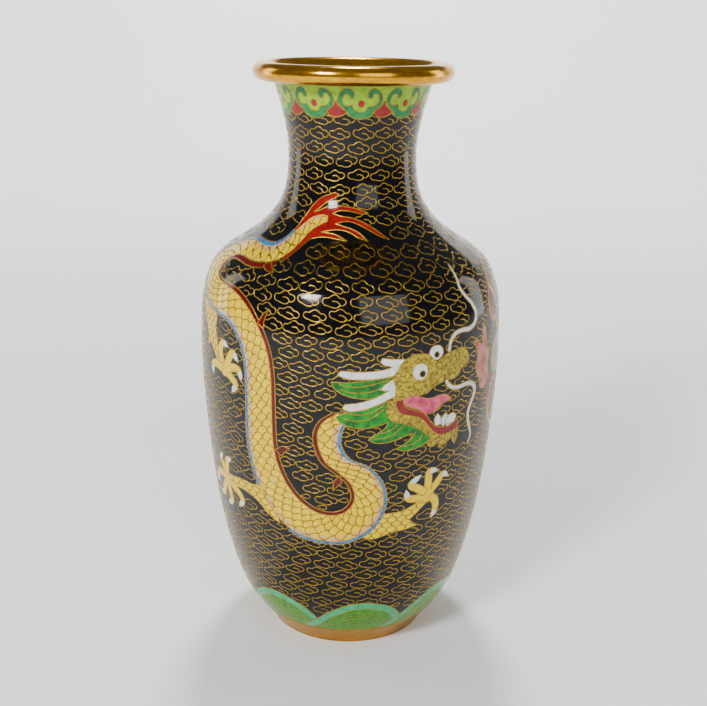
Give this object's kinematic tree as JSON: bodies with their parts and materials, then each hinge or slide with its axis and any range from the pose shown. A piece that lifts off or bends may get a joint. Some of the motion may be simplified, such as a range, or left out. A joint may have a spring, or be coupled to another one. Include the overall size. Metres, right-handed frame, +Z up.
{
  "type": "cloisonne vase",
  "caption": "Tall black cloisonne vase with facing dragons, a flaming pearl, a lappet collar, a hill border, and gilt mouth and foot rings.",
  "frame": {"origin": "centre of the foot ring's resting face", "axes": "+Z up along the vase's axis, -Y towards the front"},
  "size_m": [0.1196, 0.1196, 0.23],
  "materials": {
    "black_enamel": "gloss",
    "white_enamel": "gloss",
    "pink_enamel": "gloss",
    "red_enamel": "gloss",
    "olive_enamel": "gloss",
    "green_enamel": "gloss",
    "pale_enamel": "gloss",
    "yellow_enamel": "gloss",
    "blue_enamel": "gloss",
    "lime_enamel": "gloss",
    "leaf_enamel": "gloss",
    "jade_enamel": "gloss",
    "turquoise_enamel": "gloss",
    "wire_brass": "satin",
    "gilt_brass": "polished",
    "copper": "satin"
  },
  "bodies": {
    "root": {"base_disc": "copper", "base_enamel": "turquoise_enamel", "collar_dots": "red_enamel", "collar_field": "lime_enamel", "collar_scallops": "red_enamel", "collar_scrolls": "green_enamel", "collar_wires": "wire_brass", "copper_body": "copper", "copper_neck": "copper", "foot_ring": "gilt_brass", "ground_enamel": "black_enamel", "hill_borders": "jade_enamel", "hill_fields": "leaf_enamel", "hill_wires": "wire_brass", "left_dragon_belly": "pale_enamel", "left_dragon_edge": "blue_enamel", "left_dragon_eyes": "white_enamel", "left_dragon_fin": "red_enamel", "left_dragon_head": "olive_enamel", "left_dragon_horns": "white_enamel", "left_dragon_legs": "yellow_enamel", "left_dragon_lip": "red_enamel", "left_dragon_mane": "green_enamel", "left_dragon_pupils": "black_enamel", "left_dragon_scales": "yellow_enamel", "left_dragon_tail": "red_enamel", "left_dragon_teeth": "white_enamel", "left_dragon_tongue": "pink_enamel", "left_dragon_whiskers": "white_enamel", "lining_enamel": "turquoise_enamel", "pearl_core": "red_enamel", "pearl_flames": "pink_enamel", "pearl_green": "green_enamel", "pearl_pink": "pink_enamel", "right_dragon_belly": "pale_enamel", "right_dragon_edge": "blue_enamel", "right_dragon_eyes": "white_enamel", "right_dragon_fin": "red_enamel", "right_dragon_head": "olive_enamel", "right_dragon_horns": "white_enamel", "right_dragon_legs": "yellow_enamel", "right_dragon_lip": "red_enamel", "right_dragon_mane": "green_enamel", "right_dragon_pupils": "black_enamel", "right_dragon_scales": "yellow_enamel", "right_dragon_tail": "red_enamel", "right_dragon_teeth": "white_enamel", "right_dragon_tongue": "pink_enamel", "right_dragon_whiskers": "white_enamel", "rim_ring": "gilt_brass"}
  },
  "joints": []
}
